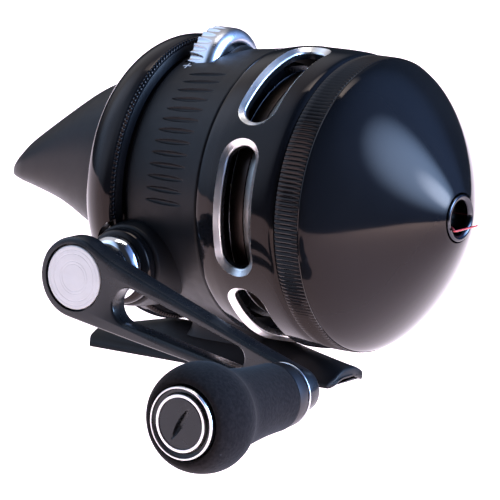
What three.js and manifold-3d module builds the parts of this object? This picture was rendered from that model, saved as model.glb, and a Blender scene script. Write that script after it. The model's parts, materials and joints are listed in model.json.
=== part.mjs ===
// Spincast fishing reel, in millimetres. +X is the way the line leaves, -Y is the crank side and
// +Z is up. The origin is the crown of the rod foot's underside, at the middle of the foot.
import * as THREE from 'three';
import { mergeVertices } from 'three/addons/utils/BufferGeometryUtils.js';
import Module from 'manifold-3d';

const wasm = await Module();
wasm.setup();

// Driving dimensions
const AXIS_Z = 37.7; // height of the reel's main axis above the seat
const NOSE_X = 58; // front end of the line guide ring
const COVER_R = 31; // knurled edge of the front cover
const SHROUD_R = 31.4; // widest part of the windowed shroud
const WALL = 1.8; // shells
const GAP = 0.3; // between pieces that touch
const FINE = 40; // facets round a casing
const MEDIUM = 24; // facets round a knob or wheel
const COARSE = 12; // facets round a shaft or screw

const WINDOW_COUNT = 6;
const WINDOW_FIRST = 2.5; // angle of the first window, up from the crank side
const WINDOW_X = 22; // middle of the windows
const WINDOW_SPAN = 49.8; // angle covered by a window
const WINDOW_WIDTH = 6.9;
const BEZEL = 1.15; // chamfer round a window, on the surface
const BEZEL_DEPTH = 0.9;

const GROOVE_COUNT = 13; // finger grooves on each side of the body
const GROOVE_PITCH = 5.05; // degrees
const GROOVE_X = 3.3;
const GROOVE_LENGTH = 8.4;

const BODY_FRONT_X = 12.1;
const BODY_REAR_X = -8;
const RING_FRONT_X = -8.7;
const RING_REAR_X = -18.8;

const CRANK_X = -4.7; // crank axis, parallel to Y
const CRANK_Z = AXIS_Z - 14.1;
const CRANK_FACE_Y = -49; // outer face of the crank arm
const CRANK_THROW = 56.5;
const CRANK_DROP = 16.2; // degrees that the line from crank axis to knob axis points down
const ARM_DROP = 13.3; // degrees that the arm's outline is turned down
const ARM_THICKNESS = 4.8;
const KNOB_CAP_Y = -87.1; // outer end of the knob

const GEAR_TEETH = 34;
const PINION_TEETH = 10;
const GEAR_R = 9.2;
const PINION_R = 6.4;
const GEAR_FACE_Y = 4.6;

const WHEEL_Z = AXIS_Z + 22.7; // drag thumbwheel
const WHEEL_R = 10.3;
const WHEEL_REAR_X = -5.9;
const WHEEL_FRONT_X = 0.9;

const FOOT_HALF_LENGTH = 33.3;
const FOOT_HALF_WIDTH = 6.8;
const FOOT_EDGE = 1.8; // thickness at the tips

const radians = THREE.MathUtils.degToRad;
const throwX = CRANK_THROW * Math.cos(radians(CRANK_DROP));
const throwZ = -CRANK_THROW * Math.sin(radians(CRANK_DROP));
const KNOB_X = CRANK_X + throwX;
const KNOB_Z = CRANK_Z + throwZ;

// Solids

function solidFrom(geometry) {
  const bare = new THREE.BufferGeometry();
  bare.setAttribute('position', geometry.getAttribute('position').clone());
  if (geometry.index) bare.setIndex(geometry.index.clone());
  const merged = mergeVertices(bare, 1e-4);
  const points = merged.getAttribute('position').array;
  const corners = merged.index.array;
  const a = new THREE.Vector3();
  const b = new THREE.Vector3();
  const c = new THREE.Vector3();
  const kept = [];
  let volume = 0;
  for (let i = 0; i < corners.length; i += 3) {
    const [p, q, r] = [corners[i], corners[i + 1], corners[i + 2]];
    if (p === q || q === r || r === p) continue;
    a.fromArray(points, 3 * p);
    b.fromArray(points, 3 * q);
    c.fromArray(points, 3 * r);
    volume += a.dot(b.cross(c)) / 6;
    kept.push(p, q, r);
  }
  if (volume < 0) kept.reverse();
  return new wasm.Manifold(new wasm.Mesh({
    numProp: 3,
    vertProperties: Float32Array.from(points),
    triVerts: Uint32Array.from(kept),
  }));
}

function union(...solids) {
  return solids.reduce((whole, solid) => whole.add(solid));
}

function closedProfile(profile) {
  const onAxis = profile[0][1] === 0 && profile[profile.length - 1][1] === 0;
  return onAxis ? profile : [...profile, profile[0]];
}

// A turned piece about the reel's axis, from [x, radius] points.
function turned(profile, segments = COARSE, y = 0, z = AXIS_Z) {
  const points = closedProfile(profile).map(([x, r]) => new THREE.Vector2(r, x));
  const geometry = new THREE.LatheGeometry(points, segments);
  geometry.rotateZ(-Math.PI / 2);
  geometry.translate(0, y, z);
  return solidFrom(geometry);
}

// A turned piece about an axis parallel to Y, from [y, radius] points.
function turnedAcross(profile, x, z, segments = COARSE) {
  const points = closedProfile(profile).map(([y, r]) => new THREE.Vector2(r, y));
  const geometry = new THREE.LatheGeometry(points, segments);
  geometry.translate(x, 0, z);
  return solidFrom(geometry);
}

function rod(x0, x1, radius, y = 0, z = AXIS_Z, segments = COARSE) {
  return turned([[x0, 0], [x0, radius], [x1, radius], [x1, 0]], segments, y, z);
}

function ring(x0, x1, inner, outer, y = 0, z = AXIS_Z, segments = COARSE) {
  return turned([[x0, inner], [x0, outer], [x1, outer], [x1, inner]], segments, y, z);
}

function rodAcross(y0, y1, radius, x, z, segments = COARSE) {
  return turnedAcross([[y0, 0], [y0, radius], [y1, radius], [y1, 0]], x, z, segments);
}

function ringAcross(y0, y1, inner, outer, x, z, segments = COARSE) {
  return turnedAcross([[y0, inner], [y0, outer], [y1, outer], [y1, inner]], x, z, segments);
}

function rodUp(z0, z1, radius, x, y) {
  const geometry = new THREE.CylinderGeometry(radius, radius, z1 - z0, COARSE);
  geometry.rotateX(Math.PI / 2);
  geometry.translate(x, y, (z0 + z1) / 2);
  return solidFrom(geometry);
}

function block(x0, x1, y0, y1, z0, z1) {
  const geometry = new THREE.BoxGeometry(x1 - x0, y1 - y0, z1 - z0);
  geometry.translate((x0 + x1) / 2, (y0 + y1) / 2, (z0 + z1) / 2);
  return solidFrom(geometry);
}

// An outline drawn in X and Z, given a thickness from y0 to y1, with chamfered edges.
function plate(shape, y0, y1, chamfer = 0) {
  const geometry = new THREE.ExtrudeGeometry(shape, {
    depth: y1 - y0 - 2 * chamfer,
    curveSegments: 6,
    bevelEnabled: chamfer > 0,
    bevelThickness: chamfer,
    bevelSize: chamfer,
    bevelOffset: -chamfer,
    bevelSegments: 1,
  });
  geometry.rotateX(Math.PI / 2);
  geometry.translate(0, y1 - chamfer, 0);
  return solidFrom(geometry);
}

// A closed skin through rings of points, one ring after another, with flat ends.
function loft(rings) {
  const count = rings[0].length;
  const positions = rings.flat().flatMap((point) => [point.x, point.y, point.z]);
  const index = [];
  for (let i = 0; i + 1 < rings.length; i += 1) {
    for (let j = 0; j < count; j += 1) {
      const a = i * count + j;
      const b = i * count + ((j + 1) % count);
      index.push(a, b, b + count, a, b + count, a + count);
    }
  }
  const last = (rings.length - 1) * count;
  for (let j = 1; j + 1 < count; j += 1) {
    index.push(0, j + 1, j, last, last + j, last + j + 1);
  }
  const geometry = new THREE.BufferGeometry();
  geometry.setAttribute('position', new THREE.Float32BufferAttribute(positions, 3));
  geometry.setIndex(index);
  return solidFrom(geometry);
}

// Materials

function material(color, roughness, metalness = 0) {
  return new THREE.MeshStandardMaterial({ color, roughness, metalness });
}

const glossBlack = () => material(0x14161b, 0.18, 0.5);
const mattBlack = () => material(0x2a2b31, 0.5, 0.2);
const satinBlack = () => material(0x1f2026, 0.35, 0.4);
const chrome = () => material(0xdcdce4, 0.15, 1);
const darkChrome = () => material(0x4a4a50, 0.15, 1);
const aluminium = () => material(0xc6c4ca, 0.35, 1);
const steel = () => material(0x9a9aa0, 0.35, 1);
const brass = () => material(0xb08d4a, 0.35, 1);
const bronze = () => material(0x55453d, 0.4, 0.7);
const foam = () => material(0x1c1b20, 0.95);
const nylon = () => material(0x3a3a3e, 0.6);
const redLine = () => material(0xc0302a, 0.4);

const reel = new THREE.Group();

function add(name, solid, finish) {
  const { vertProperties, triVerts } = solid.getMesh();
  const geometry = new THREE.BufferGeometry();
  geometry.setAttribute('position', new THREE.BufferAttribute(vertProperties, 3));
  geometry.setIndex(new THREE.BufferAttribute(triVerts, 1));
  const mesh = new THREE.Mesh(geometry, finish);
  mesh.name = name;
  reel.add(mesh);
}

// Front cover: a bullet-shaped shell with a knurled edge and a spigot into the shroud

const DOME_LENGTH = 19.6;
const DOME_MOUTH_R = 5.3;

function domePoint(t) {
  const rise = (1 - (1 - t) ** 1.4) ** 0.9;
  return new THREE.Vector2(NOSE_X - 0.5 - t * DOME_LENGTH,
    DOME_MOUTH_R + (COVER_R - 0.2 - DOME_MOUTH_R) * rise);
}

function domeArc(offset, steps) {
  const points = [];
  for (let i = 0; i <= steps; i += 1) {
    const t = (i / steps) ** 1.2;
    const here = domePoint(t);
    const ahead = domePoint(Math.min(1, t + 0.01));
    const behind = domePoint(Math.max(0, t - 0.01));
    const along = ahead.sub(behind).normalize();
    points.push([here.x - offset * along.y, here.y + offset * along.x]);
  }
  return points;
}

function frontCover() {
  const knurlFront = NOSE_X - 20.1;
  const knurlRear = NOSE_X - 25.9;
  const inside = domeArc(WALL, 5).filter(([, r]) => r > DOME_MOUTH_R + 1 && r < 28.6);
  const profile = [
    ...domeArc(0, 8),
    [knurlFront, COVER_R],
    [knurlRear + 0.3, COVER_R],
    [knurlRear, COVER_R - 0.3],
    [knurlRear, 28.7],
    [29, 28.7],
    [29, 27],
    [knurlRear + 3.4, 28.2],
    ...inside.reverse(),
    [NOSE_X - 3.4, DOME_MOUTH_R],
  ];
  return turned(profile, FINE);
}

add('front_cover', frontCover(), glossBlack());

const guideRing = [
  [NOSE_X - 5, 3.5], [NOSE_X - 5, 4.9], [NOSE_X - 0.5, 5], [NOSE_X - 0.1, 5],
  [NOSE_X, 4.4], [NOSE_X - 0.3, 3.7], [NOSE_X - 0.8, 3.5],
];
add('line_guide_ring', turned(guideRing, MEDIUM), darkChrome());

// Windowed shroud

function windowCutter(angle) {
  const radius = SHROUD_R - BEZEL_DEPTH;
  const half = radians(WINDOW_SPAN / 2) * radius - WINDOW_WIDTH / 2;
  const sides = 4;
  const outline = (grow) => {
    const r = WINDOW_WIDTH / 2 + grow;
    const points = [];
    for (let i = 0; i <= sides; i += 1) points.push([-half + (2 * half * i) / sides, -r]);
    for (let i = 1; i < 4; i += 1) {
      const turn = -Math.PI / 2 + (Math.PI * i) / 4;
      points.push([half + r * Math.cos(turn), r * Math.sin(turn)]);
    }
    for (let i = 0; i <= sides; i += 1) points.push([half - (2 * half * i) / sides, r]);
    for (let i = 1; i < 4; i += 1) {
      const turn = Math.PI / 2 + (Math.PI * i) / 4;
      points.push([-half + r * Math.cos(turn), r * Math.sin(turn)]);
    }
    return points;
  };
  const wrap = (grow, distance) => outline(grow).map(([along, across]) => {
    const turn = radians(angle) + along / radius;
    return new THREE.Vector3(WINDOW_X + across,
      -distance * Math.cos(turn), AXIS_Z + distance * Math.sin(turn));
  });
  return loft([
    wrap(0, SHROUD_R - 5), wrap(0, radius), wrap(BEZEL, SHROUD_R), wrap(BEZEL, SHROUD_R + 7),
  ]);
}

function windowShroud() {
  let shell = turned([
    [31.8, 29], [31.8, 30.3], [31.3, 30.9], [30, 31.25], [26, SHROUD_R], [20, SHROUD_R],
    [16, 31.1], [BODY_FRONT_X + GAP, 30.3], [BODY_FRONT_X + GAP, 29],
  ], FINE);
  for (let i = 0; i < WINDOW_COUNT; i += 1) {
    shell = shell.subtract(windowCutter(WINDOW_FIRST + (360 * i) / WINDOW_COUNT));
  }
  return shell;
}

add('window_shroud', windowShroud(), glossBlack());

// Body: the barrel, with its crank bosses, finger grooves and drag wheel pocket

const BOSS_END_Y = -31;
const LEFT_BOSS_Y = 28;

function groove(angle) {
  const turn = radians(angle);
  const level = (distance, width, length) => {
    const outline = [[-1, 0], [-0.5, -0.75], [0.5, -0.75], [1, 0], [0.5, 0.75], [-0.5, 0.75]];
    return outline.map(([along, across]) => {
      const [x, y] = [GROOVE_X + along * length / 2, across * width];
      return new THREE.Vector3(x, -distance * Math.cos(turn) + y * Math.sin(turn),
        AXIS_Z + distance * Math.sin(turn) + y * Math.cos(turn));
    });
  };
  return loft([level(28.3, 0.3, GROOVE_LENGTH - 1.4), level(30.3, 1.2, GROOVE_LENGTH + 1.2)]);
}

function bodyOutside(grow) {
  return [
    [BODY_REAR_X, 26.9 + grow], [BODY_REAR_X + 0.9, 27.6 + grow], [-2, 28.2 + grow],
    [4, 29 + grow], [8, 29.5 + grow], [BODY_FRONT_X - 0.3, 30.1 + grow],
    [BODY_FRONT_X, 29.9 + grow],
  ];
}

function bodyHousing() {
  const barrel = turned([
    [-13, 26.2], ...[[BODY_REAR_X, 26.2]], ...bodyOutside(0), [BODY_FRONT_X, 28.7], [16, 28.7],
    [16, 27], [BODY_FRONT_X, 27], [BODY_REAR_X, 24.6], [-13, 24.6],
  ], FINE);
  const rightBoss = turnedAcross([
    [BOSS_END_Y, 0], [BOSS_END_Y, 8.4], [BOSS_END_Y + 4, 9.2], [-20.4, 9.6], [-20.4, 0],
  ], CRANK_X, CRANK_Z, MEDIUM);
  const leftBoss = turnedAcross([
    [20.6, 0], [20.6, 8.4], [LEFT_BOSS_Y - 0.6, 7.8], [LEFT_BOSS_Y, 7.2], [LEFT_BOSS_Y, 0],
  ], CRANK_X, CRANK_Z, MEDIUM);
  const crescent = turned([
    [1.8, 0], [1.8, 7.1], [3.4, 6.7], [5.4, 4.6], [6.6, 0],
  ], MEDIUM, 0, WHEEL_Z + 0.4).intersect(block(1.8, 7, -12, 12, AXIS_Z + 26.5, AXIS_Z + 40));
  const bores = union(
    rodAcross(BOSS_END_Y - 1, -27.2, 7.3, CRANK_X, CRANK_Z, MEDIUM),
    rodAcross(-28, 24.8, 3.7, CRANK_X, CRANK_Z),
    rodAcross(22.6, LEFT_BOSS_Y + 1, 6.7, CRANK_X, CRANK_Z, MEDIUM),
    rod(WHEEL_REAR_X - 0.6, WHEEL_FRONT_X + 0.5, WHEEL_R + 0.6, 0, WHEEL_Z, MEDIUM),
  );
  let body = union(barrel, rightBoss, leftBoss, crescent).subtract(bores);
  for (let i = 0; i < GROOVE_COUNT; i += 1) {
    body = body.subtract(groove(i * GROOVE_PITCH));
    body = body.subtract(groove(180 - i * GROOVE_PITCH));
  }
  for (const x of FOOT_SCREW_X) {
    body = body.subtract(rodUp(AXIS_Z - 32, AXIS_Z - 20, 1.8, x, 0));
  }
  return body;
}

const FOOT_SCREW_X = [-3, 8.5];
add('body_housing', bodyHousing(), mattBlack());

// Rear cover: a rounded ring with room for the thumb button and the crank bosses

function rearCover() {
  const shell = turned([
    [RING_FRONT_X, 28.2], [RING_FRONT_X, 30], [RING_FRONT_X - 0.3, 30.4], [-11, 30.7],
    [-13.3, 30.3], [-15.6, 29.2], [-17.4, 27.7], [-18.5, 26.1], [RING_REAR_X, 24.8],
    [RING_REAR_X, 22.8], [-18, 22.6], [-16.9, 24.6], [-15, 26.3], [-12.5, 27.6],
  ], FINE);
  return shell
    .subtract(rodAcross(-40, -15, 9.9, CRANK_X, CRANK_Z, MEDIUM))
    .subtract(rodAcross(15, 40, 8.8, CRANK_X, CRANK_Z, MEDIUM));
}

add('rear_cover', rearCover(), glossBlack());

// Thumb button: a hollow duck-tail wedge, [x, top, bottom, half width] about the reel's axis

const BUTTON_SECTIONS = [
  [-17.8, 21.9, -18.6, 20.4], [-21.3, 21.2, -17.2, 19.4], [-25.5, 19.5, -15, 18.2],
  [-30.2, 17, -12.4, 16.8], [-37.1, 12.1, -9, 14.8], [-44.9, 6.2, -6.7, 12.4],
  [-47.7, 3.5, -6, 11.3], [-49.9, 1, -5.4, 9.9], [-51.3, -1.2, -4.9, 8.2], [-51.9, -2.4, -4, 6.4],
];
const BUTTON_TRAVEL = 3.8;

function buttonRing([x, top, bottom, halfWidth], inset) {
  const count = 24;
  const points = [];
  const middle = (top + bottom) / 2;
  const halfHeight = (top - bottom) / 2 - inset;
  for (let i = 0; i < count; i += 1) {
    const turn = (2 * Math.PI * i) / count;
    const square = (value) => Math.sign(value) * Math.abs(value) ** 0.82;
    points.push(new THREE.Vector3(x, (halfWidth - inset) * square(Math.cos(turn)),
      AXIS_Z + middle + halfHeight * square(Math.sin(turn))));
  }
  return points;
}

function thumbButton() {
  const outside = loft(BUTTON_SECTIONS.map((section) => buttonRing(section, 0)))
    .intersect(rod(-60, 0, 22.2, 0, AXIS_Z, FINE));
  const deep = BUTTON_SECTIONS.filter(([x]) => x > -40);
  const mouth = [-17, ...BUTTON_SECTIONS[0].slice(1)];
  const inside = loft([mouth, ...deep].map((section) => buttonRing(section, 2)));
  const post = rod(-44, -20.7, 3);
  return outside.subtract(inside).add(post);
}

add('thumb_button', thumbButton(), mattBlack());

// Centre shaft, thrust collar and return spring

const SHAFT_REAR_X = -20.4;
const SHAFT_R = 2;
const SPRING_REAR_X = -20.2;
const SPRING_FRONT_X = -13.4;

add('centre_shaft', rod(-18.6, 31.6, SHAFT_R), steel());
add('thrust_collar', rod(SHAFT_REAR_X, -18.9, 5), steel());

function returnSpring() {
  const turns = 4;
  const wire = 0.45;
  const radius = 6.6;
  class Coil extends THREE.Curve {
    getPoint(t, target = new THREE.Vector3()) {
      const turn = 2 * Math.PI * turns * t;
      const length = SPRING_FRONT_X - SPRING_REAR_X - 2 * wire;
      return target.set(SPRING_REAR_X + wire + length * t,
        radius * Math.cos(turn), AXIS_Z + radius * Math.sin(turn));
    }
  }
  const section = new THREE.Shape();
  section.absarc(0, 0, wire, 0, 2 * Math.PI);
  return solidFrom(new THREE.ExtrudeGeometry(section, {
    steps: turns * 10, curveSegments: 3, extrudePath: new Coil(), bevelEnabled: false,
  }));
}

add('return_spring', returnSpring(), steel());

// Pinion gear on its two bearings, with helical teeth

function toothedShape(teeth, root, tip) {
  const shape = new THREE.Shape();
  const pitch = (2 * Math.PI) / teeth;
  for (let i = 0; i < teeth; i += 1) {
    const corners = [[-0.5, root], [-0.14, tip], [0.14, tip]];
    corners.forEach(([along, r], corner) => {
      const turn = pitch * (i + along);
      const [x, y] = [r * Math.cos(turn), r * Math.sin(turn)];
      if (i === 0 && corner === 0) shape.moveTo(x, y);
      else shape.lineTo(x, y);
    });
  }
  shape.closePath();
  return shape;
}

function pinionGear() {
  const length = 7;
  const front = CRANK_X + length / 2;
  const twist = GEAR_TEETH / PINION_TEETH / (GEAR_R - 0.8); // radians per millimetre
  const geometry = new THREE.ExtrudeGeometry(toothedShape(PINION_TEETH, 5.2, PINION_R),
    { depth: length, steps: 9, bevelEnabled: false });
  const position = geometry.getAttribute('position');
  for (let i = 0; i < position.count; i += 1) {
    const [y, z, along] = [position.getX(i), position.getY(i), position.getZ(i)];
    const turn = twist * along;
    position.setXYZ(i, front - along, y * Math.cos(turn) - z * Math.sin(turn),
      AXIS_Z + y * Math.sin(turn) + z * Math.cos(turn));
  }
  const sleeve = rod(-13.2, 23.2, 3.6);
  return solidFrom(geometry).add(sleeve).subtract(rod(-14, 24, 2.3));
}

add('pinion_gear', pinionGear(), brass());
add('pinion_bearing_front', ring(12.7, 14.5, 3.9, 7.4), chrome());
add('pinion_bush_rear', ring(-12.8, -10.2, 3.9, 4.8), bronze());

// Gear frame: holds the pinion's rear bush and the drag wheel's axle

const AXLE_Z = WHEEL_Z;

function gearFrame() {
  const beam = block(-13, 12.1, -6, 6, AXIS_Z + 8.3, AXIS_Z + 11);
  const rearEye = block(-13, -10, -6.3, 6.3, AXIS_Z - 2, AXIS_Z + 9).add(rod(-13, -10, 7.6));
  const flange = block(9.6, 12.1, -9, 9, AXIS_Z + 8.3, AXIS_Z + 17);
  const post = block(2, 4.6, -4, 4, AXIS_Z + 10, AXLE_Z + 2.2);
  const holes = union(
    rod(-14, -9, 5),
    rod(1, 5.6, 1.8, 0, AXLE_Z),
    rod(5, 13, PLUNGER_R + 0.3, PLUNGER_Y, PLUNGER_Z),
  );
  return union(beam, rearEye, flange, post).subtract(holes);
}

const PLUNGER_R = 1.2;
const PLUNGER_Y = 6.2;
const PLUNGER_Z = AXIS_Z + 15.6;
add('gear_frame', gearFrame(), nylon());

// Drag: thumbwheel, its axle and the plunger that presses the brake shoe on the spool

function dragWheel() {
  const bodyOfWheel = turned([
    [WHEEL_REAR_X, 1.9], [WHEEL_REAR_X, WHEEL_R - 0.6], [WHEEL_REAR_X + 0.5, WHEEL_R],
    [-1, WHEEL_R], [0.1, WHEEL_R - 0.5], [WHEEL_FRONT_X, WHEEL_R - 1.6],
    [WHEEL_FRONT_X, 7.3], [-1.9, 5.6], [-1.9, 1.9],
  ], MEDIUM, 0, WHEEL_Z);
  const ribCount = MEDIUM;
  let cuts = null;
  for (let i = 0; i < ribCount; i += 1) {
    const turn = (2 * Math.PI * i) / ribCount;
    const cut = rod(WHEEL_REAR_X - 1, -1.6, 0.55,
      (WHEEL_R + 0.2) * Math.cos(turn), WHEEL_Z + (WHEEL_R + 0.2) * Math.sin(turn), 4);
    cuts = cuts ? cuts.add(cut) : cut;
  }
  return bodyOfWheel.subtract(cuts);
}

add('drag_wheel', dragWheel(), aluminium());
add('drag_axle', rod(-6.2, 4.4, 1.5, 0, AXLE_Z).add(rod(-1.6, -0.9, 3, 0, AXLE_Z)), steel());
add('drag_plunger', rod(1.2, 15.6, PLUNGER_R, PLUNGER_Y, PLUNGER_Z), steel());

// Deck plate with the spool's hub, spool, line and retainer

const HUB_R = 8;

function deckPlate() {
  const disc = rod(12.4, 15, 26.7, 0, AXIS_Z, FINE);
  const hub = rod(14, 23.4, HUB_R, 0, AXIS_Z, MEDIUM);
  const holes = union(
    rod(12, 14.6, 7.6, 0, AXIS_Z, MEDIUM),
    rod(12, 24, 4.2),
    rod(12, 16, PLUNGER_R + 0.3, PLUNGER_Y, PLUNGER_Z),
  );
  return disc.add(hub).subtract(holes);
}

add('deck_plate', deckPlate(), satinBlack());
add('spool', turned([
  [16.2, HUB_R + GAP], [16.2, 24.3], [17.2, 24.3], [17.2, 11], [22.2, 11], [22.2, 20],
  [23.1, 20], [23.1, HUB_R + GAP],
], MEDIUM), satinBlack());
add('line_winding', turned([
  [17.5, 11.3], [17.5, 18], [18.4, 18.8], [21, 18.8], [21.9, 18], [21.9, 11.3],
], MEDIUM), redLine());
add('spool_retainer', ring(23.5, 24.1, 4.3, 9.2), steel());

// Spinner head on the centre shaft, with its nut and two pickup pins

const SPINNER_R = 26.2;
const PIN_X = 23.4;

add('spinner_head', turned([
  [17.8, 24.7], [17.8, SPINNER_R], [22.3, SPINNER_R], [22.3, SPINNER_R - 0.5],
  [25.4, SPINNER_R - 0.5], [26.4, 24.8], [28.2, 12], [28.6, 5], [29.4, 5], [29.4, 2.2],
  [24.5, 2.2], [24.5, 5.2], [26.7, 11.5], [25, 24], [24.4, 24.7],
], 36).subtract(union(
  rodUp(AXIS_Z + 20, AXIS_Z + 30, 1.1, PIN_X, 0),
  rodUp(AXIS_Z - 30, AXIS_Z - 20, 1.1, PIN_X, 0),
)), bronze());
add('pickup_pin_1', rodUp(AXIS_Z + 24.2, AXIS_Z + 28, 0.9, PIN_X, 0), chrome());
add('pickup_pin_2', rodUp(AXIS_Z - 28, AXIS_Z - 24.2, 0.9, PIN_X, 0), chrome());
add('spinner_nut', turned([[29.7, 2.6], [29.7, 3.9], [31.4, 3.9], [31.4, 2.6]], 6), steel());

// Crank axis: shaft, bearings, drive gear, ratchet, collars and caps

add('crankshaft', rodAcross(-45.2, 25.6, 3, CRANK_X, CRANK_Z), steel());
add('crank_bearing_right', ringAcross(-30.6, -27.5, 3.2, 7, CRANK_X, CRANK_Z), chrome());
add('crank_bearing_left', ringAcross(22.9, 25.6, 3.2, 6.4, CRANK_X, CRANK_Z), chrome());
add('crank_boss_ring', turnedAcross([
  [-34, 3.9], [-34, 6.9], [-33.3, 7.8], [-31.3, 8], [-31.3, 3.9],
], CRANK_X, CRANK_Z, MEDIUM), glossBlack());
add('crank_collar', turnedAcross([
  [-37.2, 3.3], [-37.2, 5.4], [-36.2, 6.3], [-34.9, 6.8], [-34.3, 6.7], [-34.3, 3.3],
], CRANK_X, CRANK_Z, MEDIUM), chrome());
add('left_cap', turnedAcross([
  [25.9, 0], [25.9, 6.4], [28.3, 6.4], [28.3, 7], [29.2, 7], [30.4, 5.8], [30.8, 0],
], CRANK_X, CRANK_Z, MEDIUM), satinBlack());

function driveGear() {
  let gear = turnedAcross([
    [GEAR_FACE_Y + 1.2, 3.3], [GEAR_FACE_Y + 1.2, GEAR_R], [GEAR_FACE_Y + 3.2, GEAR_R],
    [GEAR_FACE_Y + 3.2, 6], [14, 6], [14, 3.3],
  ], 0, 0, MEDIUM);
  for (let i = 0; i < GEAR_TEETH; i += 1) {
    const geometry = new THREE.BoxGeometry(3, 1.4, 0.7);
    geometry.translate(GEAR_R - 1.55, GEAR_FACE_Y + 0.7, 0);
    geometry.rotateY((2 * Math.PI * i) / GEAR_TEETH);
    gear = gear.add(solidFrom(geometry));
  }
  return gear.translate(CRANK_X, 0, CRANK_Z);
}

add('drive_gear', driveGear(), brass());

const RATCHET_TEETH = 12;
const RATCHET_R = 6.8;
const RATCHET_Y = -12.6;

function ratchetWheel() {
  const shape = new THREE.Shape();
  for (let i = 0; i < RATCHET_TEETH; i += 1) {
    const turn = (2 * Math.PI * i) / RATCHET_TEETH;
    const next = (2 * Math.PI * (i + 0.92)) / RATCHET_TEETH;
    const root = RATCHET_R - 1.5;
    if (i === 0) shape.moveTo(root * Math.cos(turn), root * Math.sin(turn));
    else shape.lineTo(root * Math.cos(turn), root * Math.sin(turn));
    shape.lineTo(RATCHET_R * Math.cos(next), RATCHET_R * Math.sin(next));
  }
  shape.closePath();
  const bore = new THREE.Path();
  bore.absarc(0, 0, 3.3, 0, 2 * Math.PI, true);
  shape.holes.push(bore);
  return plate(shape, RATCHET_Y, RATCHET_Y + 1.8).translate(CRANK_X, 0, CRANK_Z);
}

add('ratchet_wheel', ratchetWheel(), steel());

const PAWL_X = CRANK_X + 9.8;
const PAWL_Z = CRANK_Z + 2.6;

function ratchetPawl() {
  const shape = new THREE.Shape();
  shape.absarc(0, 0, 2.4, radians(-60), radians(120), false);
  shape.lineTo(-2.6, 0.6);
  shape.lineTo(-3.4, -1.5);
  shape.lineTo(-1, -2.4);
  shape.closePath();
  const bore = new THREE.Path();
  bore.absarc(0, 0, 1.4, 0, 2 * Math.PI, true);
  shape.holes.push(bore);
  return plate(shape, RATCHET_Y, RATCHET_Y + 1.8).translate(PAWL_X, 0, PAWL_Z);
}

add('ratchet_pawl', ratchetPawl(), steel());
add('pawl_pin', rodAcross(-20.1, RATCHET_Y + 2.4, 1.1, PAWL_X, PAWL_Z), steel());

// Crank arm, drawn from the crank axis towards the knob, then turned down to its angle

const TIP_U = CRANK_THROW * Math.cos(radians(CRANK_DROP - ARM_DROP));
const TIP_W = -CRANK_THROW * Math.sin(radians(CRANK_DROP - ARM_DROP));

function crankArm() {
  const outline = new THREE.Shape();
  outline.absarc(0, -0.1, 8.5, radians(68), radians(-86), false);
  outline.lineTo(17.3, -7.5);
  outline.lineTo(31, -6.4);
  outline.lineTo(42, -6.6);
  outline.absarc(TIP_U, TIP_W, 4.6, radians(-94), radians(86), false);
  outline.lineTo(46, 2.5);
  outline.lineTo(36, 3.5);
  outline.splineThru([
    new THREE.Vector2(21.7, 5), new THREE.Vector2(11.7, 6.2), new THREE.Vector2(6.2, 7),
  ]);
  outline.closePath();
  const slot = new THREE.Path();
  slot.absarc(14.4, -1.05, 3.85, radians(88), radians(272), false);
  slot.absarc(41.8, -1.15, 2.4, radians(-88), radians(88), false);
  slot.closePath();
  outline.holes.push(slot);
  const arm = plate(outline, CRANK_FACE_Y, CRANK_FACE_Y + ARM_THICKNESS, 0.8);
  const hub = rodAcross(CRANK_FACE_Y + 2, -37.5, 5.6, 0, 0, MEDIUM);
  const holes = union(
    rodAcross(CRANK_FACE_Y - 1, CRANK_FACE_Y + 1.6, 7.1, 0, 0, MEDIUM),
    rodAcross(CRANK_FACE_Y + 1, -37, 3.3, 0, 0),
    rodAcross(CRANK_FACE_Y + 1, CRANK_FACE_Y + 2.2, 4.6, 0, 0),
    rodAcross(CRANK_FACE_Y - 1, CRANK_FACE_Y + ARM_THICKNESS + 1, 2.6, TIP_U, TIP_W),
    block(0, 50, 0, 6, -12, 12).rotate([0, 0, -0.7])
      .translate(22, CRANK_FACE_Y + ARM_THICKNESS, 0),
  );
  return arm.add(hub).subtract(holes).rotate([0, ARM_DROP, 0])
    .translate(CRANK_X, 0, CRANK_Z);
}

add('crank_arm', crankArm(), satinBlack());
add('crank_disc', turnedAcross([
  [CRANK_FACE_Y + 0.1, 0], [CRANK_FACE_Y + 0.1, 6.5], [CRANK_FACE_Y + 0.3, 6.7],
  [CRANK_FACE_Y + 1.2, 6.7], [CRANK_FACE_Y + 1.2, 0],
], CRANK_X, CRANK_Z, MEDIUM), aluminium());
add('crank_screw', rodAcross(CRANK_FACE_Y + 1.5, CRANK_FACE_Y + 3.4, 2.9, CRANK_X, CRANK_Z),
  steel());

// Knob: foam grip on a sleeve, turning on a spindle in the arm's end

const knobY = (t) => KNOB_CAP_Y + t;
const knobTurned = (profile, segments = MEDIUM) => turnedAcross(
  profile.map(([t, r]) => [knobY(t), r]), KNOB_X, KNOB_Z, segments);

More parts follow.
